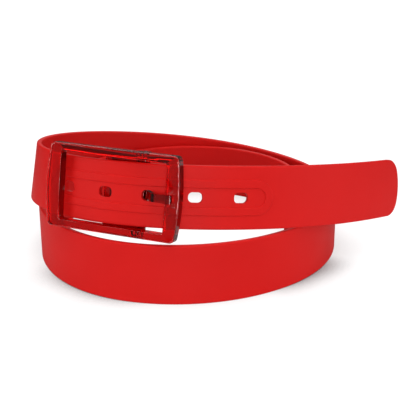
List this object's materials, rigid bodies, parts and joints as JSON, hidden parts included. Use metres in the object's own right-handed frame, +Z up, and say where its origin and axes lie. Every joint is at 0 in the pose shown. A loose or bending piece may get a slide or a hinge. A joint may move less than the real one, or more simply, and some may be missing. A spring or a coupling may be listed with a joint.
{
  "type": "coiled belt",
  "caption": "Moulded rubber belt coiled in two turns on edge, threaded through a translucent frame buckle with a pivoting prong and an end clamp.",
  "frame": {"origin": "centre of the footprint's bounding box, on the floor", "axes": "+Z up, -Y the front with the buckle, +X towards the strap's rounded tip"},
  "size_m": [0.2296, 0.1962, 0.0838],
  "materials": {
    "strap": "matte",
    "buckle": "gloss"
  },
  "bodies": {
    "belt": {"strap": "strap", "buckle_frame": "buckle", "hinge_pin": "buckle"},
    "prong": {"prong": "buckle"},
    "clamp": {"clamp_body": "buckle", "lever_pin": "buckle"},
    "lever": {"clamp_lever": "buckle"}
  },
  "joints": [
    {"name": "prong_hinge", "type": "hinge", "parent": "belt", "child": "prong", "pos_m": [-0.03971, -0.07599, 0.05866], "axis": [-0.0787, -0.1915, -0.9783], "range_deg": [0, 8]},
    {"name": "clamp_hinge", "type": "hinge", "parent": "belt", "child": "clamp", "pos_m": [-0.03971, -0.07599, 0.05866], "axis": [-0.0787, -0.1915, -0.9783], "range_deg": [0, 75]},
    {"name": "lever_hinge", "type": "hinge", "parent": "clamp", "child": "lever", "pos_m": [-0.05635, -0.06746, 0.05832], "axis": [0.0787, 0.1915, 0.9783], "range_deg": [0, 95]}
  ]
}
